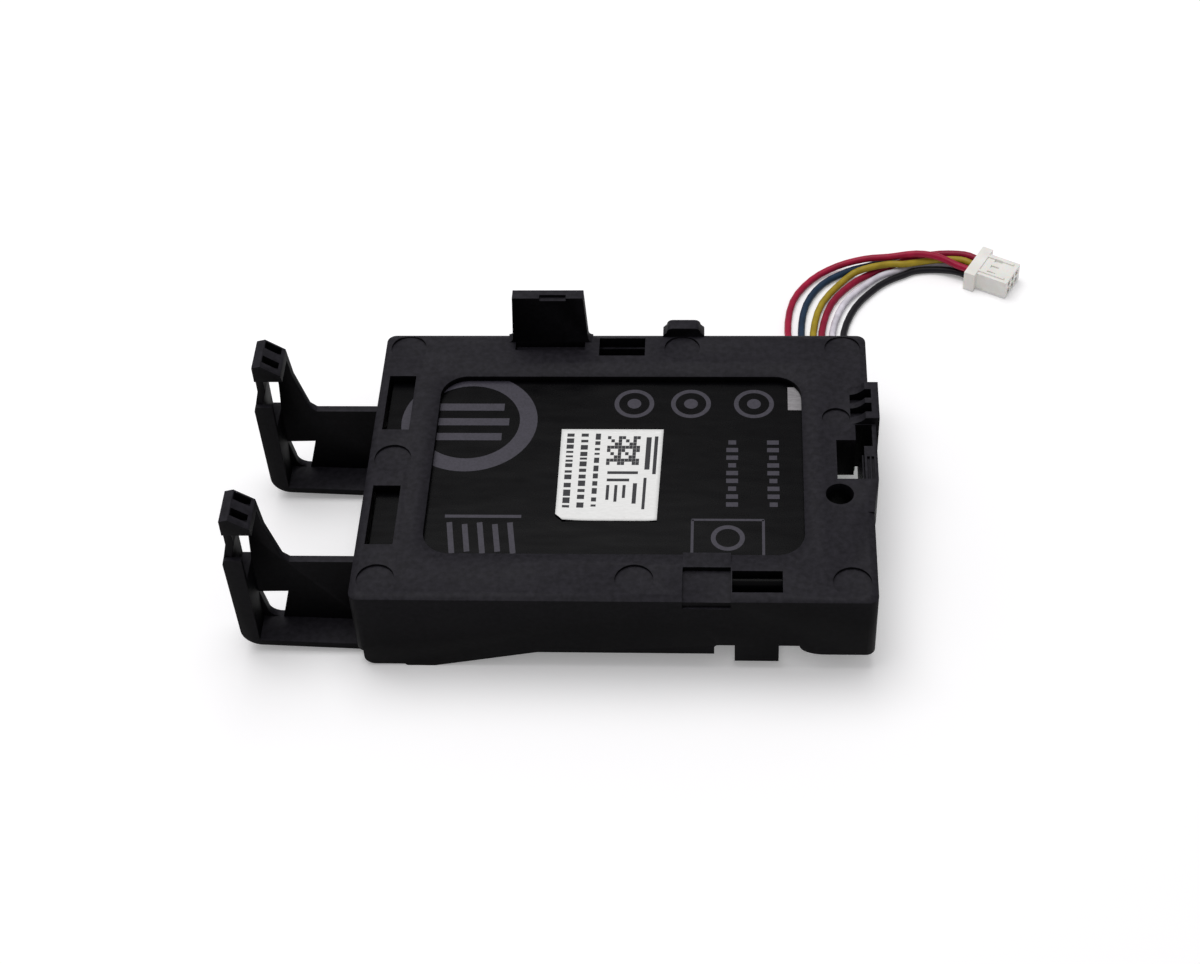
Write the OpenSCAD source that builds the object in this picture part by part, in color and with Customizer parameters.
// Battery module of a server's RAID controller.
// A moulded holder carries a flat lithium-ion cell, its small board, six leads and a plug.
// Millimetres, +Z up. X runs along the long side, Y from the front face to the back face.
// The origin is the middle of the footprint, on the surface that the module stands on.

/* [Cell] */
// Length of the cell can
cell_w = 54.1; // [50:0.1:60]
// Depth of the cell can
cell_d = 39; // [36:0.5:46]
// Thickness of the cell can
cell_h = 9.4; // [8.5:0.1:11]
// Radius of the can's long edges
cell_r = 1.2; // [0.6:0.1:2]
// Thickness of the printed film round the cell
film_t = 0.15; // [0.1:0.05:0.3]
// Clearance between the film and the holder, above and below
cell_gap = 0.1; // [0.05:0.05:0.3]
// Clearance between the film and the left wall
end_gap = 0.4; // [0.2:0.1:1]
// Clearance between the film and the front and back walls
side_gap = 2.5; // [2:0.1:3.2]
// Width of the label on the film
label_w = 13.2; // [8:0.1:16]
// Length of the label on the film
label_l = 15.9; // [8:0.1:20]

/* [Holder] */
// Thickness of the top plate
plate_t = 1.2; // [1:0.1:2]
// Thickness of the side walls
wall_t = 1.1; // [0.9:0.1:1.5]
// Height of the skirt's lower edge above the ground
skirt_z = 2.8; // [2:0.1:4]
// Radius of the upright corners
corner_r = 1.2; // [1:0.1:3]
// Width of the bevel round the top face
bevel_w = 0.9; // [0.4:0.1:1]
// Drop of the bevel round the top face
bevel_h = 0.3; // [0.1:0.05:0.6]
// Length of the window in the top plate
window_w = 47.2; // [40:0.2:50]
// Depth of the window in the top plate
window_d = 31.1; // [24:0.1:33]
// Radius of the window's corners
window_r = 3.5; // [2:0.5:6]
// Diameter of the round hole in the plate
hole_d = 3.5; // [3:0.1:4]
// Diameter of the ejector marks
mark_d = 4.7; // [3:0.1:5]

/* [Hooks under the cell] */
// Width of a snap finger in the front and back walls
finger_w = 5.4; // [4:0.1:5.8]
// Height of a finger's lower face above the ground
finger_z = 1.25; // [0.8:0.05:1.8]
// Thickness of the lip under the cell
lip_t = 0.55; // [0.4:0.05:1]
// How far a lip reaches under the cell
lip_catch = 1.8; // [1:0.1:2.4]
// Width of a ledge under the cell's left end
ledge_w = 7; // [4:0.5:9]

/* [Hinge arms] */
// Reach of the arms beyond the left wall
arm_reach = 14.7; // [14:0.1:20]
// Width of an arm
arm_w = 5; // [4:0.1:7]
// Thickness of an arm's web
web_t = 1; // [0.8:0.1:2]
// Thickness of an arm's outer strap
strap_t = 2.2; // [1.5:0.1:2.6]
// Thickness of an arm's floor
floor_t = 1; // [0.8:0.1:1.6]
// Distance from the front face to the front arm
arm_y = 2.05; // [1.2:0.05:3]
// Distance between the two arms
arm_pitch = 26.05; // [20:0.05:30]
// Height of the arms' hooked heads above the ground
head_z = 24.2; // [23:0.1:30]

/* [Tower, tab and latch] */
// Width of the tower's foot
tower_w = 10.1; // [8:0.1:14]
// Height of the tower above the top face
tower_h = 7.9; // [5:0.1:12]
// Thickness of the tower
tower_t = 1.6; // [1.2:0.1:2.5]
// Thickness of the tab on the back wall
tab_t = 1.4; // [1:0.1:2]
// Height of the tab above the top face
tab_h = 1.3; // [0.8:0.1:3]
// How far the latch pad stands out from the right wall
latch_out = 1.2; // [1:0.1:2]
// Height of the latch pad above the top face
latch_h = 1.1; // [0.6:0.1:2]
// Width of the latch pad
latch_w = 6.6; // [5:0.1:7]

/* [Board] */
// Clearance between the board and the holder's right wall
board_gap = 0.4; // [0.2:0.1:3]
// Thickness of the board
board_t = 0.8; // [0.6:0.1:1.2]
// Width of the board's narrow waist
board_waist = 2.6; // [2.2:0.1:2.8]
// Distance between the leads on the board
lead_pitch = 1.1; // [1.05:0.01:1.12]

/* [Leads and plug] */
// Outer diameter of a lead
lead_d = 1; // [0.8:0.05:1]
// Distance between the plug's contacts
contact_pitch = 1.3; // [1.2:0.05:1.4]
// Length of the plug
plug_l = 6.2; // [6:0.1:9]
// Width of the plug's flange
plug_w = 6.4; // [5.6:0.1:8]
// Height of the plug's flange
plug_h = 3.2; // [3.1:0.1:4]

/* [Hidden] */
$fn = 48;
eps = 0.01;

// Holder, worked out from the cell
pack_w = cell_w + 2 * film_t;
pack_d = cell_d + 2 * film_t;
pack_h = cell_h + 2 * film_t;
board_in = 0.6;
board_edge = 0.25;
board_w = 5 * lead_pitch + 2 * board_edge;
bay_w = board_in + board_w + board_gap;
body_w = wall_t + end_gap + pack_w + bay_w + wall_t;
body_d = pack_d + 2 * (side_gap + wall_t);
lip_z = finger_z + lip_t;
pack_z = lip_z + cell_gap;
plate_z = pack_z + pack_h + cell_gap;
top_z = plate_z + plate_t;
left = -body_w / 2;
right = body_w / 2;
inner_left = left + wall_t;
inner_right = right - wall_t;
inner_back = body_d - wall_t;
pack_x = inner_left + end_gap;
pack_y = wall_t + side_gap;
pack_end = pack_x + pack_w;
label_at = [-7.65, 13.95];
label_cut = 0.9;

// Window
window_x = left + 8.15;
window_y = 7.65;
window_bevel_x = 1.3;
window_bevel_y = 2;
window_bevel_h = 0.4;

// Slots cored through the plate above the hooks and ledges
side_slot_w = 3.5;
side_slot_l = 9.9;
side_slot_x = left + 1.15;
front_side_slot_y = 8.7;
back_side_slot_y = front_side_slot_y + 19.8;
end_slot_w = 6.1;
end_slot_l = 3.4;
front_slot_x = 14.45;
front_slot_y = 1.35;
back_slot_x = -3.35;
back_slot_y = body_d - 0.75 - end_slot_l;
latch_slot_w = 3.5;
latch_slot_l = 6.75;
latch_slot_x = right - 0.9 - latch_slot_w;
latch_slot_y = 20.1;
slot_rib_t = 1;
slot_rib_h = 5.3;

// Ejector marks, the small round recess, and the round hole with its collar
mark_depth = 0.35;
mark_in = 3.1;
back_mark_in = 2.7;
mid_mark_in = 3.3;
mid_mark_x = 2.6;
back_mark_x = 7.7;
boss_d = 3.6;
boss_at = [right - 4.3, 30.8];
hole_at = [right - 4.2, 17.5];
collar_t = 0.8;
collar_h = 2.8;

// Channel over the front edge; a flush bar behind it bridges the window's bevel
channel_x = 8.45;
channel_w = 5.85;
channel_l = 5.3;
channel_depth = 0.7;
channel_drop = 1.6;
channel_sink = 0.3;

// Openings in the lower edge of the front and back walls
finger_x = front_slot_x + (end_slot_w - finger_w) / 2;
back_finger_x = back_slot_x + (end_slot_w - finger_w) / 2;
relief_w = 2.5;
relief_z = skirt_z + 1.65;
relief_r = 0.5;
run_out = 3.2;
exit_z = skirt_z + 2.4;

// Foot rails at the left ends of the front and back walls
foot_flat = 3.4;
foot_step_x = left + 6.1;
foot_step = 0.3;
foot_ramp = 13;
foot_in = 0.85;
foot_r = 1.3;

// Arms
arm_floor_z = 0.6;
arm_floor_rise = 0.65;
arm_top_z = top_z - 0.35;
elbow_r = 2.6;
bulge = 0.2;
bulge_z = head_z - 7.7;
neck_z = head_z - 4.7;
neck_in = 0.55;
head_w = 3.5;
head_bottom_z = head_z - 2.4;
waist_z = head_z - 7;
waist_in = 0.6;
pocket_z = waist_z - 4;
pocket_skin = 1;
pocket_flare = 0.3;
brow_h = 0.3;
brow_w = 1.1;
head_fall = 1.4;
// Inner edge of an arm above its web: distance in from the outer face, and height
crook = [[4.5, head_z - 5.5], [5.35, arm_top_z + 2.95], [5.95, arm_top_z + 0.75], [6.8, arm_top_z]];
// Opening in an arm's web, given in the same way
web_hole_top = [[2.2, 6.9], [5.9, 7], [4.6, arm_floor_z + floor_t + 0.3]];
web_hole_r = 1.5;
web_hole_turn = [4.3, 3.6];

// Middle of the footprint, measured from the middle of the front face
frame_x = (arm_reach + bulge - latch_out) / 2;
frame_y = -(body_d + tab_t) / 2;

// Pockets in an arm's head
head_pocket_w = 1.9;
head_pocket_l = 1.2;
head_pocket_y = [0.95, arm_w - 0.25 - head_pocket_l];

// Tower
tower_x = -9.92;
tower_draft = 0.36;
tower_pocket_l = 1.5;
tower_pocket_depth = 0.9;
tower_notch_x = -1.1;
tower_notch_w = 3.5;
tower_notch_l = 0.7;
tower_notch_depth = 0.45;
tower_fillet = 0.6;

// Tab on the back wall
tab_x = 7.85;
tab_w = 5.5;
tab_top_w = 4.55;
tab_r = 0.8;
tab_drop = 4;

// Latch on the right wall
latch_y = 29.7;
latch_z = 5;
pad_in = 2.65;
pad_rise_w = 2.1;
beam_out = 0.75;
beam_root_y = 14.5;
pad_curve = 1.45;
pad_x = right + latch_out - pad_in - pad_rise_w + 0.9;
pit_y = 25.8;
pit_in = 1.9;
pit_skin = 0.55;
groove_w = 1.6;
groove_l = 2.7;
groove_y = [1.2, 3.7];
groove_depth = 0.9;
rail_w = 0.35;
rail_x = [right - 0.6, right - 0.05];
rail_l = pit_y - latch_slot_y - 1.8;
rail_depth = 0.4;

// Board, its parts and the cell's terminals
board_z = skirt_z + 0.2;
board_top = board_z + board_t;
board_x = pack_end + board_in;
board_end = board_x + board_w;
board_y = pack_y + 1;
board_back = pack_y + pack_d - 1;
waist_y = latch_slot_y - 6.5;
waist_l = latch_slot_l + 10.5;
paper_t = 0.2;
paper_gap = 0.2;
flag_w = 2.5;
flag_l = 4.2;
flag_y = 33.4;
post_r = 1.6;
post_h = 0.7;
post_y = pack_y + pack_d - 12.65;
post_z = pack_z + pack_h / 2 + 0.6;
tab_strip_w = 3;
strip_t = 0.2;
strip_foot = 2.2;
minus_y = pack_y + 10.65;
parts_gap = 0.9;
chip = [3, 4.4, 1];
mosfet = [3, 3, 0.9];
resistor = [3.2, 1.6, 0.6];
capacitor = [0.6, 1, 0.5];
bead = [0.8, 1.6, 0.8];
chip_y = post_y + tab_strip_w / 2 + parts_gap;
bead_y = minus_y + tab_strip_w / 2 + parts_gap;
resistor_y = minus_y - tab_strip_w / 2 - parts_gap - resistor[1];
mosfet_y = resistor_y - parts_gap - mosfet[1];
solder_l = 1.4;
solder_w = 0.8;
solder_h = 0.8;

// Plug
plug_turn = -29;
plug_at = [49, 72.65];
flange_l = 1.6;
shell_in = 0.8;
shell_down = 0.2;
row_low = 0.95;
row_gap = 1.25;
cavity = 0.8;
contact_w = 0.6;
contact_l = 3.6;

// Leads: one route each, from the board over the ground to the plug
lead_z = board_top + lead_d / 2;
lead_y = board_back - 1.5;
lead_x = board_x + 0.2;
lead_out_y = body_d - 0.5;
routes = [
    [[23.2, 53, 1.6], [22.2, 60, 0.5], [23, 66.5, 0.5], [25.8, 71.2, 0.5], [29.5, 73.6, 1],
     [33.5, 74.4, 1.7], [37, 74.5, 2], [40.9, 74.4, 2.7], [44, 73.8, 2.65]],
    [[24.6, 53, 1.6], [24.1, 60, 0.5], [24.9, 65.8, 0.5], [27.3, 70.2, 0.5], [31, 73, 0.5],
     [34, 74.2, 0.5], [37, 75.2, 0.5], [40.9, 75.5, 0.5], [44.5, 75.55, 0.55]],
    [[25.9, 53, 1.6], [25.8, 60, 0.5], [27.2, 66.2, 0.5], [31, 71.6, 0.6], [33.4, 72.4, 1.55],
     [37, 73.4, 1.6], [39, 73.3, 1.65], [40.9, 73.8, 1.55], [44.1, 74.35, 1.55]],
    [[27.1, 53, 1.7], [27, 60, 0.6], [28.5, 66, 0.5], [31.4, 70.1, 0.5], [34.2, 72.4, 0.5],
     [37, 73.9, 0.6], [39, 74.4, 1.2], [40.9, 74.9, 1.5], [44.4, 75.55, 1.65]],
    [[28.5, 53, 1.6], [28.5, 60, 0.5], [30.2, 65.8, 0.5], [33.2, 69.7, 0.5], [35.6, 71.9, 0.5],
     [37.2, 72.7, 0.5], [39, 73.4, 0.5], [40.9, 74.3, 0.5], [44.2, 74.45, 0.5]],
    [[30, 53, 1.6], [30.1, 60, 0.5], [31.9, 65.3, 0.5], [34.8, 69.2, 0.5], [37, 71.1, 0.5],
     [39, 72.2, 0.5], [40.9, 73.15, 0.5], [43.9, 73.35, 0.55]]
];
// The contact that each lead goes to: place across the plug, row
seats = [[-1, 1], [1, 0], [0, 1], [1, 1], [0, 0], [-1, 0]];

// Helpers

// Moves the holder's own places to the part's frame
module framed() {
    translate([frame_x, frame_y, 0]) children();
}

// Extrudes an outline drawn in x and z along y, from 0 to d
module along_y(d) {
    translate([0, d, 0]) rotate([90, 0, 0]) linear_extrude(d) children();
}

// Extrudes an outline drawn in y and z along x, from 0 to w
module along_x(w) {
    rotate([90, 0, 90]) linear_extrude(w) children();
}

// Rectangle with round corners
module round_rect(w, d, r) {
    translate([r, 0]) square([w - 2 * r, d]);
    translate([0, r]) square([w, d - 2 * r]);
    for (x = [r, w - r], y = [r, d - r]) translate([x, y]) circle(r);
}

// Points of an arc, from angle a to angle b
function arc(centre, r, a, b, steps = 8) =
    [for (i = [0 : steps]) centre + r * [cos(a + (b - a) * i / steps), sin(a + (b - a) * i / steps)]];

// Block with round upright corners and a bevel round its top
module bevelled_block(w, d, h, r, bw, bh) {
    half = [[0, 0], [r, 0], [r, h - bh], [r - bw, h], [0, h]];
    for (x = [r, w - r], y = [r, d - r]) translate([x, y, 0]) rotate_extrude() polygon(half);
    translate([0, r, 0]) along_y(d - 2 * r)
        polygon([[0, 0], [w, 0], [w, h - bh], [w - bw, h], [bw, h], [0, h - bh]]);
    translate([r, 0, 0]) along_x(w - 2 * r)
        polygon([[0, 0], [d, 0], [d, h - bh], [d - bw, h], [bw, h], [0, h - bh]]);
}

// Housing

// Top plate and walls, open below
module shell() {
    difference() {
        translate([left, 0, skirt_z])
            bevelled_block(body_w, body_d, top_z - skirt_z, corner_r, bevel_w, bevel_h);
        translate([inner_left, wall_t, skirt_z - 1])
            cube([body_w - 2 * wall_t, body_d - 2 * wall_t, plate_z - skirt_z + 1]);
    }
}

// Rail below the left end of a wall: round heel, flat sole, step and ramp
module foot_rail() {
    along_y(wall_t) polygon(concat(
        arc([left + foot_in + foot_r, foot_step + foot_r], foot_r, 180, 270),
        [
            [foot_step_x - 0.3, foot_step], [foot_step_x, 0], [foot_step_x + foot_flat, 0],
            [foot_step_x + foot_flat + foot_ramp, skirt_z],
            [foot_step_x + foot_flat + foot_ramp, skirt_z + 1], [left + foot_in, skirt_z + 1]
        ]
    ));
}

// Hook hanging from a wall, with its outer face at y = 0 and its lip reaching to +y
module hook(w, reach) {
    along_x(w) polygon([
        [0, finger_z + 0.2], [0.2, finger_z], [reach - 0.5, finger_z], [reach, finger_z + 0.3],
        [reach - 0.1, lip_z], [wall_t, lip_z], [wall_t, skirt_z + 3], [0, skirt_z + 3]
    ]);
}

// Opening in the lower edge of a wall beside a finger
module relief(w) {
    translate([0, -1, 0]) along_y(wall_t + 2) {
        translate([0, skirt_z - 1]) square([w, relief_z - relief_r - skirt_z + 1]);
        translate([relief_r, skirt_z]) square([w - relief_r, relief_z - skirt_z]);
        translate([relief_r, relief_z - relief_r]) circle(relief_r);
    }
}

// Opening beside a finger that runs out in a curve down to the skirt
module relief_run_out() {
    translate([0, -1, 0]) along_y(wall_t + 2) difference() {
        translate([0, skirt_z - 1]) square([relief_w + run_out, relief_z - skirt_z + 1]);
        translate([relief_w + run_out, relief_z]) quarter_ellipse(run_out, relief_z - skirt_z);
    }
}

// Lower left quarter of an ellipse, as an outline
module quarter_ellipse(a, b) {
    polygon(concat([[0, 0]], [for (i = [0 : 8]) [-a * cos(i * 90 / 8), -b * sin(i * 90 / 8)]]));
}

// Outline of an arm, u outwards from the left wall and z up
module arm_outline() {
    u = arm_reach;
    polygon(concat(
        [[-wall_t, arm_floor_z], [0, arm_floor_z]],
        arc([u - elbow_r, arm_floor_z + arm_floor_rise + elbow_r], elbow_r, -90, 0),
        [
            [u + bulge, bulge_z], [u - neck_in, neck_z], [u - neck_in, head_z],
            [u - neck_in - brow_w, head_z + brow_h], [u - neck_in - head_w, head_z - head_fall]
        ],
        [for (p = crook) [u - p[0], p[1]]],
        [[-wall_t, arm_top_z]]
    ));
}

// Opening through an arm's web, above the floor
module web_hole() {
    u = arm_reach;
    polygon(concat(
        [for (p = web_hole_top) [u - p[0], p[1]]],
        arc([u - web_hole_turn[0], web_hole_turn[1]], web_hole_r, -75, 0)
    ));
}

// Pocket cored into an arm's strap from behind, open through the web and below the head
module strap_pocket() {
    u = arm_reach;
    translate([0, waist_in - eps, 0]) along_y(arm_w) polygon([
        [u - pocket_skin, pocket_z], [u - strap_t, pocket_z],
        [u - strap_t - pocket_flare, waist_z + pocket_flare],
        [u - strap_t - pocket_flare, head_bottom_z],
        [u - neck_in - pocket_skin, head_bottom_z], [u - neck_in - pocket_skin, neck_z],
        [u - pocket_skin, bulge_z + pocket_skin]
    ]);
}

// One arm: web with a hole, strap with a waist, floor, and a hooked head with two pockets
module arm() {
    u = arm_reach;
    mirror([1, 0, 0]) difference() {
        union() {
            translate([0, arm_w - web_t, 0]) along_y(web_t) difference() {
                arm_outline();
                web_hole();
            }
            along_y(arm_w) intersection() {
                arm_outline();
                union() {
                    translate([u - strap_t, 0]) square([strap_t + 1, head_z + 2]);
                    translate([u - 5, head_bottom_z]) square([6, 8]);
                    polygon([
                        [-wall_t, 0], [u, 0], [u, arm_floor_z + arm_floor_rise + floor_t],
                        [0, arm_floor_z + floor_t], [-wall_t, arm_floor_z + floor_t]
                    ]);
                }
            }
        }
        translate([u - strap_t - 1, -1, waist_z])
            cube([strap_t + 3, waist_in + 1, head_bottom_z - waist_z]);
        strap_pocket();
        for (y = head_pocket_y)
            translate([u - neck_in - head_w + 0.4, y, head_z - head_fall - 0.6])
                cube([head_pocket_w, head_pocket_l, 4]);
    }
}

// Tower on the back wall, tapering upwards, with a notch in its top edge
module tower() {
    w = tower_w / 2;
    translate([tower_x, body_d - tower_t, top_z]) difference() {
        along_y(tower_t) polygon(concat(
            [[-w - tower_fillet, -plate_t]],
            arc([-w - tower_fillet, tower_fillet], tower_fillet, -90, 0, 4),
            [[-w + tower_draft, tower_h], [w - tower_draft, tower_h]],
            arc([w + tower_fillet, tower_fillet], tower_fillet, 180, 270, 4),
            [[w + tower_fillet, -plate_t]]
        ));
        translate([tower_notch_x, -eps, tower_h - tower_notch_depth])
            cube([tower_notch_w, tower_notch_l, tower_notch_depth + 1]);
    }
}

// Tab outside the back wall, with round upper corners and a sloping underside
module back_tab() {
    h = tab_h + tab_drop;
    translate([tab_x, body_d, top_z - tab_drop]) intersection() {
        translate([0, -0.3, 0]) along_y(tab_t + 0.3) polygon(concat(
            [[-tab_w / 2, 0], [tab_w / 2, 0], [tab_w / 2, tab_drop]],
            arc([tab_top_w / 2 - tab_r, h - tab_r], tab_r, 0, 90, 4),
            arc([-tab_top_w / 2 + tab_r, h - tab_r], tab_r, 90, 180, 4),
            [[-tab_w / 2, tab_drop]]
        ));
        translate([-tab_w, 0, 0]) along_x(2 * tab_w)
            polygon([[-0.3, 0], [0, 0], [tab_t, tab_t], [tab_t, h], [-0.3, h]]);
    }
}

// Latch on the right wall: a long beam, and a pad that rises outwards
module latch() {
    translate([0, 0, latch_z]) linear_extrude(top_z - latch_z) polygon([
        [right - 0.9, beam_root_y], [right, beam_root_y], [right + 0.2, beam_root_y + 1.9],
        [right + beam_out, latch_slot_y - 0.1], [right + beam_out, latch_y],
        [right - 0.9, latch_y]
    ]);
    translate([right - pit_in - 0.1, latch_y, latch_z])
        cube([pit_in + 0.1 + latch_out, latch_w, top_z - latch_z]);
    translate([0, latch_y, 0]) along_y(latch_w) polygon(concat(
        [[pad_x, top_z - 0.5], [pad_x, top_z]],
        arc([pad_x, top_z + latch_h + pad_curve], latch_h + pad_curve, -80, -35, 5),
        [[right + latch_out, top_z + latch_h], [right + latch_out, top_z - 0.5]]
    ));
}

// Grooves across the pad, the pit in front of it, and the rails beside the slot
module latch_cuts() {
    for (y = groove_y)
        translate([pad_x + 0.2, latch_y + y, top_z - groove_depth])
            cube([groove_l, groove_w, groove_depth + latch_h + 1]);
    translate([right - pit_in, pit_y, latch_z + 1])
        cube([pit_in + beam_out - pit_skin, latch_y - pit_y - 0.1, top_z]);
    for (x = rail_x)
        translate([x, latch_slot_y, top_z - rail_depth]) cube([rail_w, rail_l, rail_depth + 1]);
}

// Window through the plate, with a wide shallow bevel
module window_cut() {
    translate([window_x, window_y, plate_z - 1])
        linear_extrude(plate_t + 2) round_rect(window_w, window_d, window_r);
    hull() {
        translate([window_x, window_y, top_z - window_bevel_h])
            linear_extrude(eps, $fn = 32) round_rect(window_w, window_d, window_r);
        translate([window_x - window_bevel_x, window_y - window_bevel_y, top_z])
            linear_extrude(eps, $fn = 32) round_rect(
                window_w + 2 * window_bevel_x, window_d + 2 * window_bevel_y,
                window_r + window_bevel_x
            );
    }
}

// Slots above the hooks, the ledges and the latch
module slot_cuts() {
    z = plate_z - 0.5;
    h = plate_t + 1;
    for (y = [front_side_slot_y, back_side_slot_y])
        translate([side_slot_x, y, z]) cube([side_slot_w, side_slot_l, h]);
    translate([front_slot_x, front_slot_y, z]) cube([end_slot_w, end_slot_l, h]);
    translate([back_slot_x, back_slot_y, z]) cube([end_slot_w, end_slot_l, h]);
    translate([latch_slot_x, latch_slot_y, z]) cube([latch_slot_w, latch_slot_l, h]);
}

// Shallow ejector marks in the plate
module marks() {
    at = [
        [left + mark_in, mark_in], [left + mark_in, body_d / 2 + 0.15],
        [left + mark_in, body_d - back_mark_in], [mid_mark_x, mid_mark_in],
        [right - mark_in, mark_in], [back_mark_x, body_d - back_mark_in],
        [right - mark_in, body_d - back_mark_in]
    ];
    for (p = at) translate([p[0], p[1], top_z - mark_depth]) cylinder(d = mark_d, h = 1);
    translate([boss_at[0], boss_at[1], top_z - mark_depth]) cylinder(d = boss_d, h = 1);
}

// Everything moulded onto the walls and the plate, with all openings cut
module moulding() {
    difference() {
        union() {
            shell();
            foot_rail();
            translate([0, body_d - wall_t, 0]) foot_rail();
            translate([finger_x, 0, 0]) hook(finger_w, wall_t + side_gap + lip_catch);
            translate([back_finger_x, body_d, 0]) mirror([0, 1, 0])
                hook(finger_w, wall_t + side_gap + lip_catch);
            for (y = [front_side_slot_y, back_side_slot_y])
                translate([left, y + (side_slot_l + ledge_w) / 2, 0]) rotate([0, 0, -90])
                    hook(ledge_w, wall_t + end_gap + lip_catch);
            for (y = [0, arm_pitch])
                translate([left, arm_y + y, 0]) arm();
            tower();
            back_tab();
            latch();
            translate([hole_at[0], hole_at[1], plate_z - collar_h])
                cylinder(d = hole_d + 2 * collar_t, h = collar_h + 0.1);
            translate([latch_slot_x - 0.2, latch_slot_y + latch_slot_l, plate_z - slot_rib_h])
                cube([inner_right - latch_slot_x + 0.3, slot_rib_t, slot_rib_h + 0.1]);
        }
        window_cut();
        slot_cuts();
        marks();
        latch_cuts();
        translate([hole_at[0], hole_at[1], plate_z - collar_h - 1])
            cylinder(d = hole_d, h = plate_t + collar_h + 2);
        translate([channel_x, -1, top_z - channel_depth])
            cube([channel_w, channel_l + 1, channel_depth + 1]);
        translate([channel_x, -1, top_z - channel_drop])
            cube([channel_w, 1 + channel_sink, channel_drop + 1]);
        translate([tower_x - tower_w / 2 + 0.4, body_d - tower_t - tower_pocket_l,
                   top_z - tower_pocket_depth])
            cube([tower_w - 0.8, tower_pocket_l, tower_pocket_depth + 1]);
        translate([finger_x - relief_w, 0, 0]) relief(relief_w);
        translate([finger_x + finger_w, 0, 0]) relief_run_out();
        translate([back_finger_x - relief_w, inner_back, 0]) relief(relief_w);
        translate([back_finger_x + finger_w + relief_w, body_d, 0]) rotate([0, 0, 180])
            relief(relief_w);
        translate([lead_x - 0.7, inner_back - 1, skirt_z - 1])
            cube([5 * lead_pitch + 1.4, wall_t + 2, exit_z - skirt_z + 1]);
    }
}

module housing() {
    color("#1c1a20") framed() {
        moulding();
        translate([channel_x, channel_l, plate_z]) cube([channel_w, window_y - channel_l, plate_t]);
    }
}

// Cell

// Block with its long edges rounded
module cell_block(w, d, h, r) {
    along_x(w) round_rect(d, h, r);
}

module cell_can() {
    color("#9aa0a6") framed() translate([pack_x + film_t, pack_y + film_t, pack_z + film_t])
        cell_block(pack_w - film_t, cell_d, cell_h, cell_r);
}

// Film round the cell: open at the terminal end
module cell_wrap() {
    color("#0c0b10") framed() difference() {
        translate([pack_x, pack_y, pack_z]) cell_block(pack_w, pack_d, pack_h, cell_r + film_t);
        translate([pack_x + film_t, pack_y + film_t, pack_z + film_t])
            cell_block(pack_w, cell_d, cell_h, cell_r);
    }
}

// Label on the film, with one corner cut off
module sticker() {
    color("white") framed() translate([label_at[0], label_at[1], pack_z + pack_h])
        linear_extrude(cell_gap) polygon([
            [label_cut, 0], [label_w - 0.5, 0], [label_w, label_l], [0, label_l], [0, label_cut]
        ]);
}

// Insulating paper over the cell's terminal end, with a flag folded over the film
module end_paper() {
    color("#e8e6dc") framed() {
        difference() {
            translate([pack_end, pack_y + 0.5, pack_z + 0.5])
                cube([paper_t, pack_d - 1, pack_h - 0.5 + cell_gap]);
            translate([pack_end - 1, post_y, post_z]) rotate([0, 90, 0])
                cylinder(r = post_r + paper_gap, h = 3);
            translate([pack_end - 1, minus_y - tab_strip_w / 2 - paper_gap, pack_z])
                cube([3, tab_strip_w + 2 * paper_gap, pack_h - 2]);
        }
        translate([pack_end + paper_t - flag_w, flag_y, pack_z + pack_h])
            cube([flag_w, flag_l, cell_gap]);
    }
}

module terminal_post() {
    color("#c8c8c8") framed() translate([pack_end, post_y, post_z]) rotate([0, 90, 0])
        cylinder(r = post_r, h = post_h);
}

// Nickel strip: stands on the cell's end and bends onto the board
module nickel_tab(x, y, z) {
    translate([x, y - tab_strip_w / 2, board_top]) {
        cube([strip_t, tab_strip_w, z - board_top]);
        cube([board_x + strip_foot - x, tab_strip_w, strip_t]);
    }
}

module nickel_tab_positive() {
    color("#b9b9b0") framed() nickel_tab(pack_end + post_h, post_y, post_z + post_r);
}

module nickel_tab_negative() {
    color("#b9b9b0") framed() nickel_tab(pack_end, minus_y, pack_z + pack_h - 2.5);
}

// Board and its parts

module gauge_board() {
    waist_x = board_x + board_waist;
    color("#1f6b3a") framed() translate([0, 0, board_z]) linear_extrude(board_t) polygon([
        [board_x, board_y], [board_end, board_y], [board_end, waist_y], [waist_x, waist_y],
        [waist_x, waist_y + waist_l], [board_end, waist_y + waist_l], [board_end, board_back],
        [board_x, board_back]
    ]);
}

// A part on the board, given by its distance from the board's left edge, its front and its size
module on_board(x, y, size) {
    framed() translate([board_x + x, y, board_top]) cube(size);
}

module gauge_chip() {
    color("#202024") on_board(2, chip_y, chip);
}

module mosfet_chip() {
    color("#202024") on_board(1.6, mosfet_y, mosfet);
}

module sense_resistor() {
    color("#303030") on_board(1.4, resistor_y, resistor);
}

module capacitors() {
    color("#b08a5a") for (i = [0 : 2]) on_board(0.5, chip_y + i * 1.6, capacitor);
}

module thermistor() {
    color("#1a1a1a") on_board(1, bead_y, bead);
}

module lead_solder() {
    color("#c0c0c4") framed() for (i = [0 : 5])
        translate([lead_x + i * lead_pitch - solder_w / 2, lead_y - solder_l, board_top])
            cube([solder_w, solder_l, solder_h]);
}

// Leads

// Direction in which the plug points
function plug_dir() = [cos(plug_turn), sin(plug_turn), 0];

// Point on the plug's back face where lead i enters
function entry(i) = [plug_at[0], plug_at[1], row_low + seats[i][1] * row_gap]
    + seats[i][0] * contact_pitch * [-sin(plug_turn), cos(plug_turn), 0];

// Whole route of lead i
function route(i) = concat(
    [[lead_x + i * lead_pitch, lead_y, lead_z], [lead_x + i * lead_pitch, lead_out_y, lead_z]],
    routes[i],
    [entry(i) - 2 * plug_dir(), entry(i)]
);

function unit(v) = v / norm(v);

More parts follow.
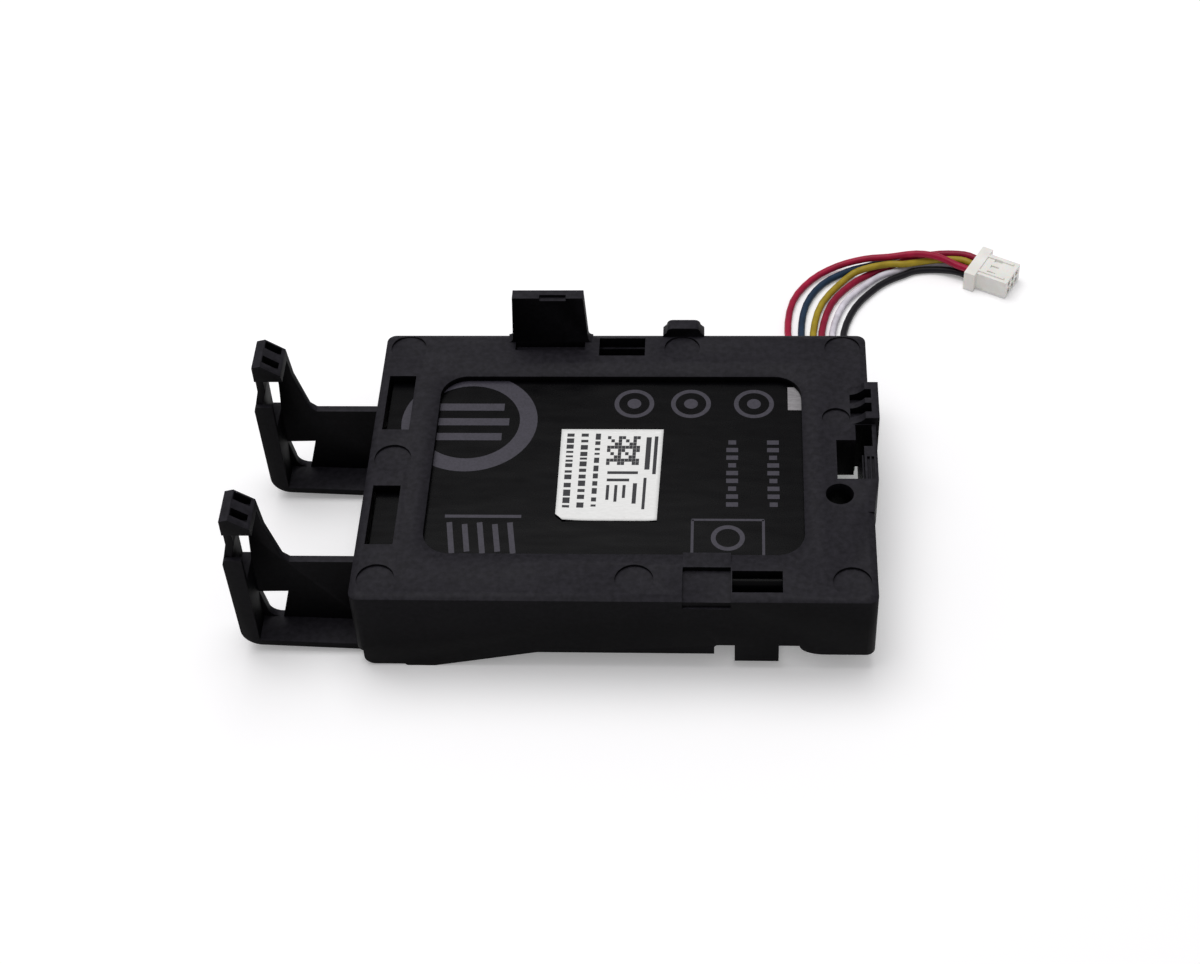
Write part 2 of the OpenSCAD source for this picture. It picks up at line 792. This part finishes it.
// Direction of a route at point k
function heading(p, k) =
    k == 0 ? unit(p[1] - p[0])
    : k == len(p) - 1 ? unit(p[k] - p[k - 1])
    : unit(unit(p[k] - p[k - 1]) + unit(p[k + 1] - p[k]));

// Ring of eight points round point k of a route
function ring(p, k) =
    let (t = heading(p, k), s = unit(cross([0, 0, 1], t)), u = cross(t, s))
    [for (j = [0 : 7]) p[k] + lead_d / 2 * (cos(45 * j) * s + sin(45 * j) * u)];

// Tube swept along a route
module lead(i) {
    p = route(i);
    n = len(p);
    points = [for (k = [0 : n - 1]) each ring(p, k)];
    sides = [
        for (k = [0 : n - 2], j = [0 : 7])
            [8 * k + j, 8 * k + 8 + j, 8 * k + 8 + (j + 1) % 8, 8 * k + (j + 1) % 8]
    ];
    ends = [[for (j = [0 : 7]) j], [for (j = [7 : -1 : 0]) 8 * (n - 1) + j]];
    framed() polyhedron(points, concat(sides, ends), 4);
}

module lead_red() {
    color("#a01840") lead(0);
}

module lead_blue() {
    color("#1c3448") lead(1);
}

module lead_yellow() {
    color("#b09a30") lead(2);
}

module lead_red_2() {
    color("#a01840") lead(3);
}

module lead_white() {
    color("#e8e4ee") lead(4);
}

module lead_black() {
    color("#18161c") lead(5);
}

// Plug

// Moves to the plug: x from its back face to its open end, y across, z up
module at_plug() {
    framed() translate([plug_at[0], plug_at[1], 0]) rotate([0, 0, plug_turn]) children();
}

// Does the same for each of the six contacts
module each_contact() {
    for (c = [-1 : 1], r = [0, 1])
        translate([plug_l - cavity_depth(), c * contact_pitch, row_low + r * row_gap]) children();
}

function cavity_depth() = plug_l - flange_l + 0.6;

module plug_housing() {
    shell_w = plug_w - 2 * shell_in;
    color("#f4f2ee") at_plug() difference() {
        union() {
            translate([0, -plug_w / 2, 0]) cube([flange_l, plug_w, plug_h]);
            translate([flange_l - eps, -shell_w / 2, shell_down])
                cube([plug_l - flange_l + eps, shell_w, plug_h - 2 * shell_down]);
        }
        each_contact() translate([0, -cavity / 2, -cavity / 2])
            cube([cavity_depth() + 1, cavity, cavity]);
    }
}

module plug_contacts() {
    color("#c9b26a") at_plug() each_contact() translate([0, -contact_w / 2, -cavity / 2])
        cube([contact_l, contact_w, contact_w]);
}

housing();
cell_can();
cell_wrap();
sticker();
end_paper();
terminal_post();
nickel_tab_positive();
nickel_tab_negative();
gauge_board();
gauge_chip();
mosfet_chip();
sense_resistor();
capacitors();
thermistor();
lead_solder();
lead_red();
lead_blue();
lead_yellow();
lead_red_2();
lead_white();
lead_black();
plug_housing();
plug_contacts();
